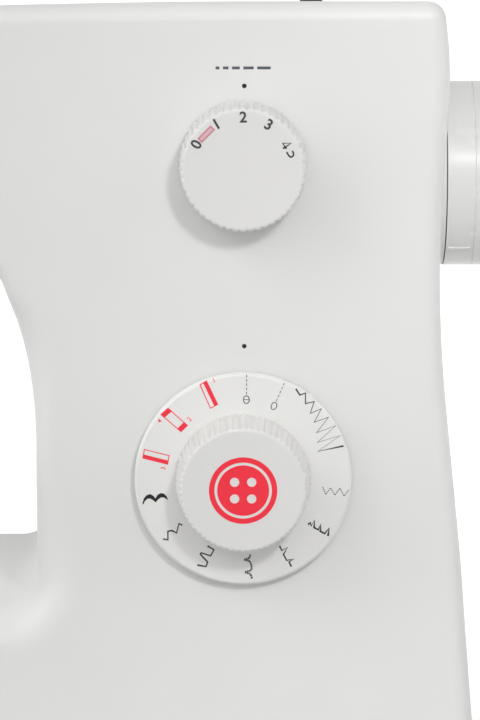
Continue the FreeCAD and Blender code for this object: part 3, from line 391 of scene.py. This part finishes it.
def dial(name, node, cz, y_back, r_back, y_sh, r_sh, y_face, r_face, depth, count, hub, body):
    """Moulded dial: fluted skirt, rounded lip, faintly dished face, hollow back with a hub round its spindle."""
    bm = bmesh.new()
    rows = [(y_back + 5.0, r_back - 2.6, 0.0), (y_back, r_back - 2.2, 0.0), (y_back, r_back - 0.9, 0.0), (y_back - 0.35, r_back - 0.2, depth * 0.6)]
    steps = 9
    for i in range(steps + 1):
        t = i / steps
        rows.append((y_back - 0.9 + (y_sh - y_back + 0.9) * t, r_back + (r_sh - r_back) * t, depth))
    rows += arc_rows(y_sh, r_sh, y_face, r_face, 7, depth, depth * 0.6)
    rows += [(y_face - 0.01, r_face - 0.45, 0), (y_face, r_face - 0.8, 0), (y_face + 0.02, r_face - 1.3, 0), (y_face + 0.05, r_face * 0.6, 0), (y_face + 0.06, r_face * 0.25, 0), (y_face + 0.06, 0, 0)]
    # inner side of the skirt, back of the face and the hub
    bore, ro, y_end, y_in, y_floor = hub
    inner = [(y_floor, 0, 0), (y_floor, bore, 0), (y_end, bore, 0), (y_end, ro, 0), (y_in, ro, 0), (y_in, r_back - 3.2, 0), (y_back + 5.0, r_back - 2.6, 0)]
    lathe_y(bm, X_DIAL, cz, [(rows[0][0], rows[0][1], 0)] + rows[1:], count * 8, flutes(count))
    lathe_y(bm, X_DIAL, cz, inner, count * 8)
    bmesh.ops.remove_doubles(bm, verts=bm.verts, dist=1e-7)
    o = solid(name, bm, MAT["dial_white"], body, 40)
    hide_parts(node)
    return o


dial("length_dial_fluted", "stitch_length_dial", Z_LENGTH, -62.8, 22.5, -76.7, 21.85, -78.0, 20.55, 0.6, 50, (4.0, 7.5, -62.8, -74.5, -75.5), "length_dial")
dial("pattern_knob_fluted", "pattern_knob", Z_PATTERN, -67.5, 24.2, -81.9, 22.6, -83.2, 21.3, 0.55, 62, (5.0, 12.0, -63.6, -79.8, -80.5), "pattern_dial")

# ------------------------------------------------------------------ prints on the front of the casing
FRONT = -62.0
p = Print(X_DIAL, 0.0, FRONT)
p.dot(0.4, 272.3, 0.82)
p.dot(0.4, 179.7, 0.82)
p.done("pointer_dots", INK_BLACK, "machine")

p = Print(X_DIAL, 278.6, FRONT)          # a row of stitches that grow longer
u = -9.6
for w in (1.3, 1.9, 2.7, 3.6, 4.7):
    p.stroke([(u, 0), (u + w, 0)], 1.0)
    u += w + 1.25
p.done("length_pictogram", INK_LABEL, "machine")

# ------------------------------------------------------------------ prints on the stitch length dial
FACE_L = -78.0


def polar(deg, r):
    return r * math.sin(math.radians(deg)), r * math.cos(math.radians(deg))


p = Print(X_DIAL, Z_LENGTH, FACE_L)
for s, a, r in (("0", -61, 18.6), ("1", -30, 18.6), ("2", 0, 18.5), ("3", 29, 18.2)):
    p.text(s, *polar(a, r), 3.7, a, 0.12)
ca, sa = math.cos(math.radians(-56)), math.sin(math.radians(-56))


def four(*pts):
    """Points of the last figure, drawn upright about its centre, turned to stand on the dial."""
    return [(14.9 + a * ca - b * sa, 8.85 + a * sa + b * ca) for a, b in pts]


p.stroke(four((0.45, -1.7), (0.45, 1.65), (-1.15, -0.75), (1.15, -0.75)), 0.72)
p.stroke([(15.0, 6.35), (15.75, 5.1), (16.4, 4.6), (17.05, 4.8), (17.4, 5.45), (17.0, 6.75)], 0.6, False, True)   # open bow after it
p.done("length_figures", INK_DARK, "length_dial")

p = Print(X_DIAL, Z_LENGTH, FACE_L)        # outlined bar between 0 and 1
cu_, cv_ = polar(-45.5, 17.9)
ca, sa = math.cos(math.radians(45.5)), math.sin(math.radians(45.5))


def turned(pts):
    return [(cu_ + a * ca - b * sa, cv_ + a * sa + b * ca) for a, b in pts]


p.fill([turned([(-3.25, -1.1), (3.25, -1.1), (3.25, 1.1), (-3.25, 1.1)]), turned([(-2.75, -0.55), (2.75, -0.55), (2.75, 0.55), (-2.75, 0.55)])])
p.done("length_bar", INK_PINK, "length_dial")
p = Print(X_DIAL, Z_LENGTH, FACE_L)
p.fill([turned([(-2.75, -0.55), (2.75, -0.55), (2.75, 0.55), (-2.75, 0.55)])], 0.03)
p.done("length_bar_fill", INK_BLUSH, "length_dial")

# ------------------------------------------------------------------ prints on the pattern disc
FACE_D = -67.5
U0, V0, KD = 774.6, 818.0, 17.7            # drawing sheet of the symbols: centre and units per mm


def sheet(*pts):
    return [((a - U0) / KD, (V0 - b) / KD) for a, b in pts]


def oval(pr, cx, cy, rx, ry, tilt, w, bar):
    t = math.radians(tilt)
    ps = []
    for k in range(24):
        a = 2 * math.pi * k / 24
        x, y = rx * math.cos(a), ry * math.sin(a)
        ps.append((cx + x * math.cos(t) + y * math.sin(t), cy - x * math.sin(t) + y * math.cos(t)))
    pr.stroke(ps, w, True)
    if bar:
        pr.stroke([(cx - rx * 0.9 * math.cos(t), cy + rx * 0.9 * math.sin(t)), (cx + rx * 0.9 * math.cos(t), cy - rx * 0.9 * math.sin(t))], w * 0.8)


def dashes(pr, a, b, n, w, fill=0.6):
    for k in range(n):
        t0, t1 = (k + (1 - fill) / 2) / n, (k + (1 + fill) / 2) / n
        pr.stroke([(a[0] + (b[0] - a[0]) * t0, a[1] + (b[1] - a[1]) * t0), (a[0] + (b[0] - a[0]) * t1, a[1] + (b[1] - a[1]) * t1)], w)


def dotted(pr, pts, w, step=0.62, fill=0.62):
    """A drawn path broken into short marks."""
    for a, b in zip(pts, pts[1:]):
        n = max(1, round(math.hypot(b[0] - a[0], b[1] - a[1]) / step))
        dashes(pr, a, b, n, w, fill)


g = Print(X_DIAL, Z_PATTERN, FACE_D)       # fine grey marks
c1, c2 = sheet((795, 300), (968, 340))
oval(g, *c1, 1.05, 1.35, 0, 0.36, True)
dashes(g, *sheet((796, 272), (797, 135)), 5, 0.30)
oval(g, *c2, 0.95, 1.35, 22, 0.34, False)
dashes(g, *sheet((980, 314), (1035, 188)), 5, 0.28)
dotted(g, sheet((1275, 860), (1295, 910), (1325, 868), (1352, 915), (1385, 870), (1410, 922), (1440, 880)), 0.34, 0.8, 0.7)
g.done("disc_marks_fine", INK_LINE, "pattern_dial")

g = Print(X_DIAL, Z_PATTERN, FACE_D)       # dark line marks
g.stroke(sheet((1105, 230), (1130, 270), (1165, 258), (1165, 325), (1220, 312), (1195, 388), (1265, 358), (1220, 445), (1310, 412), (1235, 512), (1355, 467), (1240, 575), (1385, 530), (1245, 632), (1405, 597)), 0.68)
g.stroke(sheet((1185, 1105), (1200, 1095), (1205, 1115), (1225, 1080), (1222, 1125), (1250, 1140), (1265, 1105), (1262, 1150), (1290, 1165), (1318, 1130), (1310, 1180)), 0.85)
g.stroke(sheet((1005, 1245), (1020, 1275), (1055, 1255), (1030, 1300), (1050, 1340), (1095, 1330), (1065, 1350), (1080, 1380)), 0.66)
dotted(g, sheet((820, 1300), (815, 1325), (780, 1335), (818, 1345), (830, 1385), (825, 1405), (785, 1415), (822, 1430), (832, 1460)), 0.7, 0.75, 0.8)
g.stroke(sheet((485, 1370), (540, 1380), (550, 1350), (505, 1300), (510, 1290), (570, 1310), (590, 1270), (550, 1245)), 0.7)
g.stroke(sheet((270, 1200), (300, 1205), (300, 1150), (325, 1145), (355, 1160), (370, 1100), (390, 1110)), 0.7)
g.done("disc_marks_dark", INK_DARK, "pattern_dial")

g = Print(X_DIAL, Z_PATTERN, FACE_D)       # solid double scallop
top_edge = sheet((140, 968), (150, 935), (168, 915), (190, 908), (210, 920), (222, 936), (236, 914), (254, 902), (276, 905), (292, 922), (303, 945))
low_edge = sheet((292, 941), (276, 930), (258, 930), (240, 942), (224, 962), (206, 946), (188, 936), (170, 940), (155, 955), (146, 976))
g.fill([top_edge + low_edge])
g.done("disc_mark_scallop", INK_BLACK, "pattern_dial")


def hole_mark(pr, corners, sides):
    """An outlined buttonhole step; sides are the corner pairs that are drawn thick."""
    q = sheet(*corners)
    cx, cy = sum(a for a, _ in q) / 4, sum(b for _, b in q) / 4
    pr.stroke(q, 0.5, True)
    for i, t in sides:
        a, b = q[i], q[(i + 1) % 4]
        mx, my = cx - (a[0] + b[0]) / 2, cy - (a[1] + b[1]) / 2
        l = math.hypot(mx, my)
        mx, my = mx / l * t, my / l * t
        pr.fill([[a, b, (b[0] + mx, b[1] + my), (a[0] + mx, a[1] + my)]])


r = Print(X_DIAL, Z_PATTERN, FACE_D)
hole_mark(r, [(155, 620), (310, 660), (300, 715), (145, 675)], [(2, 1.35)])
hole_mark(r, [(305, 355), (425, 465), (385, 505), (260, 395)], [(1, 1.7), (3, 1.7)])
hole_mark(r, [(545, 180), (615, 330), (570, 355), (505, 205)], [(0, 1.35)])
for s, a, b, t in (("3", 272, 742, -75), ("4", 250, 436, -48), ("2", 437, 424, -48), ("1", 592, 176, -25)):
    (uu, vv), = sheet((a, b))
    r.text(s, uu, vv, 1.7, t, 0.01)
r.done("disc_marks_red", INK_RED, "pattern_dial")

# ------------------------------------------------------------------ plain button motif on the pattern knob
FACE_K = -83.2 + 0.05
b = Print(X_DIAL, Z_PATTERN, FACE_K)


def circle(cx, cy, rad, n=48):
    return [(cx + rad * math.cos(2 * math.pi * k / n), cy + rad * math.sin(2 * math.pi * k / n)) for k in range(n)]


b.fill([circle(0, 0, 12.0, 96), circle(0, 0, 10.1, 96)])
holes = [circle(sx * 3.0, sy * 3.0, 1.65, 32) for sx in (-1, 1) for sy in (-1, 1)]
b.fill([circle(0, 0, 9.1, 96)] + holes)
b.done("knob_button_motif", INK_RED, "pattern_dial")

# ------------------------------------------------------------------ wound presser spring
def coil(name, x, y, z0, z1, r, wire, turns, body, m):
    """Wound wire with close end turns."""
    bm = bmesh.new()
    steps, sides = int(turns * 28), 10
    loops = []
    for i in range(steps + 1):
        t = i / steps
        e = 1.2 / turns                      # share of each end taken by a closed turn
        if t < e:
            h = wire * 2 * t / e
        elif t > 1 - e:
            h = (z1 - z0 - 2 * wire) - wire * 2 * (1 - t) / e
        else:
            h = wire * 2 + (t - e) / (1 - 2 * e) * (z1 - z0 - 6 * wire)
        a = 2 * math.pi * turns * t
        c = Vector((x + r * math.cos(a), y + r * math.sin(a), z0 + wire + h))
        out, up = Vector((math.cos(a), math.sin(a), 0)), Vector((0, 0, 1))
        loops.append([bm.verts.new(P(*(c + (out * math.cos(k * 2 * math.pi / sides) + up * math.sin(k * 2 * math.pi / sides)) * wire))) for k in range(sides)])
    for a, b in zip(loops, loops[1:]):
        for k in range(sides):
            bm.faces.new((a[k], a[(k + 1) % sides], b[(k + 1) % sides], b[k]))
    bm.faces.new(loops[0][::-1])
    bm.faces.new(loops[-1])
    return solid(name, bm, m, body, 50)


spring = coil("presser_spring_wound", -150.0, 10.0, 212.2, 255.8, 4.3, 0.72, 9.0, "machine", MAT["steel"])
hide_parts("presser_spring")
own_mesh(spring)

# ------------------------------------------------------------------ knurled tension wheel with figures
Y_TEN, Z_TEN, R_TEN = -51.0, 262.0, 16.0


def lathe_x(bm, cy, cz, rows, n, wave=None):
    loops = []
    for x, r, d in rows:
        loops.append([bm.verts.new(P(x, cy + (r - (d * wave(2 * math.pi * k / n) if wave else 0)) * math.sin(2 * math.pi * k / n), cz + (r - (d * wave(2 * math.pi * k / n) if wave else 0)) * math.cos(2 * math.pi * k / n))) for k in range(n)])
    for a, b in zip(loops, loops[1:] + loops[:1]):
        for k in range(n):
            bm.faces.new((a[k], b[k], b[(k + 1) % n], a[(k + 1) % n]))


bm = bmesh.new()
lathe_x(bm, Y_TEN, Z_TEN, [
    (-118.0, 15.1, 0), (-117.6, 15.7, 0.3), (-117.2, 15.95, 0.5), (-115.6, 15.95, 0.5), (-115.4, 15.6, 0), (-112.6, 15.6, 0), (-112.4, 15.95, 0.5),
    (-110.8, 15.95, 0.5), (-110.4, 15.7, 0.3), (-110.0, 15.1, 0), (-110.0, 12.0, 0), (-111.4, 11.0, 0), (-111.4, 6.0, 0), (-110.0, 5.2, 0), (-110.0, 2.55, 0), (-118.0, 2.55, 0)], 48 * 6, flutes(48))
wheel = solid("tension_wheel_knurled", bm, MAT["dial_white"], "tension", 35)
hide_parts("tension_dial")


class Wrap(Print):
    """Figures laid round the tension wheel's rim."""

    def at(self, u, v, w=0.0):
        a = self.turn + v / 15.6
        r = 15.6 - w
        return P(-114.0 + u, Y_TEN - r * math.cos(a), Z_TEN + r * math.sin(a))


t = Wrap(0, 0, 0)
for k in range(10):
    t.turn = math.radians((k - 4) * 30.0)
    t.text(str(k), 0.0, 0.0, 2.9, 0.0, 0.01)
t.done("tension_figures", INK_DARK, "tension")

# ------------------------------------------------------------------ thread wound on the bobbin
bm = bmesh.new()
n, rows = 72, 26
loops = []
for i in range(rows * 4 + 1):
    z = 67.55 + (76.05 - 67.55) * i / (rows * 4)
    rr = 9.35 + 0.16 * abs(math.sin(math.pi * i / 4))
    loops.append([bm.verts.new(P(-150.0 + rr * math.cos(2 * math.pi * k / n), -21.0 + rr * math.sin(2 * math.pi * k / n), z)) for k in range(n)])
lo = [bm.verts.new(P(-150.0 + 8.65 * math.cos(2 * math.pi * k / n), -21.0 + 8.65 * math.sin(2 * math.pi * k / n), 67.55)) for k in range(n)]
hi = [bm.verts.new(P(-150.0 + 8.65 * math.cos(2 * math.pi * k / n), -21.0 + 8.65 * math.sin(2 * math.pi * k / n), 76.05)) for k in range(n)]
for a, b in zip([lo] + loops + [hi], loops + [hi] + [lo]):
    for k in range(n):
        bm.faces.new((a[k], a[(k + 1) % n], b[(k + 1) % n], b[k]))
THREAD = rubber("red cotton thread", (0.45, 0.02, 0.03), (0.7, 0.85))
solid("bobbin_thread", bm, THREAD, "bobbin_body", 60)

# ------------------------------------------------------------------ floor, light and camera
def floor():
    bm = bmesh.new()
    bmesh.ops.create_grid(bm, x_segments=40, y_segments=40, size=9.0)
    me = bpy.data.meshes.new("floor")
    bm.to_mesh(me)
    bm.free()
    o = bpy.data.objects.new("floor", me)
    bpy.context.scene.collection.objects.link(o)
    m, nt, b, co = tree("floor white")
    nt.links.new(ramp(nt, noise(nt, co, 3.0, 2.0), (0.59, 0.59, 0.59), (0.62, 0.62, 0.62)), b.inputs["Base Color"])
    b.inputs["Roughness"].default_value = 0.9
    sx = nt.nodes.new("ShaderNodeSeparateXYZ")           # the paper behind the machine is lit up to white
    nt.links.new(co.outputs["Object"], sx.inputs[0])
    mr = nt.nodes.new("ShaderNodeMapRange")
    mr.interpolation_type = "SMOOTHSTEP"
    mr.inputs["From Min"].default_value = 0.02
    mr.inputs["From Max"].default_value = 0.11
    mr.inputs["To Min"].default_value = 0.0
    mr.inputs["To Max"].default_value = 0.75
    nt.links.new(sx.outputs["Y"], mr.inputs[0])
    b.inputs["Emission Color"].default_value = (1, 1, 1, 1)
    far = nt.nodes.new("ShaderNodeMapRange")             # and a little more towards the far end
    far.interpolation_type = "SMOOTHSTEP"
    for k, v in (("From Min", 0.5), ("From Max", 1.4), ("To Min", 0.0), ("To Max", 0.3)):
        far.inputs[k].default_value = v
    nt.links.new(sx.outputs["Y"], far.inputs[0])
    both = nt.nodes.new("ShaderNodeMath")
    nt.links.new(mr.outputs[0], both.inputs[0])
    nt.links.new(far.outputs[0], both.inputs[1])
    nt.links.new(both.outputs[0], b.inputs["Emission Strength"])
    me.materials.append(m)


floor()
sc = bpy.context.scene
w = bpy.data.worlds.new("studio")
w.use_nodes = True
w.node_tree.nodes["Background"].inputs[0].default_value = (1.0, 1.0, 1.0, 1)
w.node_tree.nodes["Background"].inputs[1].default_value = 0.29
sc.world = w


def area(name, loc, aim, sx, sy, power, spread=180.0):
    d = bpy.data.lights.new(name, "AREA")
    d.shape = "RECTANGLE"
    d.size, d.size_y = sx, sy
    d.energy = power
    d.spread = math.radians(spread)
    o = bpy.data.objects.new(name, d)
    sc.collection.objects.link(o)
    o.location = loc
    o.rotation_euler = (Vector(aim) - Vector(loc)).to_track_quat("-Z", "Y").to_euler()
    return o


area("key", (0.329, -0.796, 0.642), (0.21, -0.05, 0.2), 0.1, 0.1, 0.205, 50.0)
area("fill", (-0.97, -0.80, 1.40), (0.092, -0.055, 0.19), 0.7, 0.7, 5.6)
area("front", (0.1, -1.7, 1.35), (0.09, 0.0, 0.2), 2.0, 0.9, 6.7)
area("low_front", (0.1, -2.0, 0.75), (0.09, 0.0, 0.2), 1.6, 0.6, 1.8)
area("left", (-1.2, -0.5, 0.5), (0.05, 0.0, 0.2), 1.0, 1.2, 5.4)
area("right", (1.3, -0.5, 0.6), (0.15, 0.0, 0.2), 1.2, 1.2, 3.2)
area("back", (0.1, 1.2, 0.8), (0.1, 0.0, 0.3), 3.0, 1.6, 8.8).visible_camera = False

cam = bpy.data.cameras.new("cam")
cam.sensor_fit = "AUTO"
cam.sensor_width = 36.0
cam.lens = 172.75
cam.clip_end = 50.0
co_ = bpy.data.objects.new("cam", cam)
sc.collection.objects.link(co_)
co_.location = (0.0909, -1.2515, 0.421)
co_.rotation_euler = (math.radians(90.0 - 11.6), 0.0, 0.0)
sc.camera = co_

sc.view_settings.view_transform = "Standard"
sc.view_settings.look = "None"
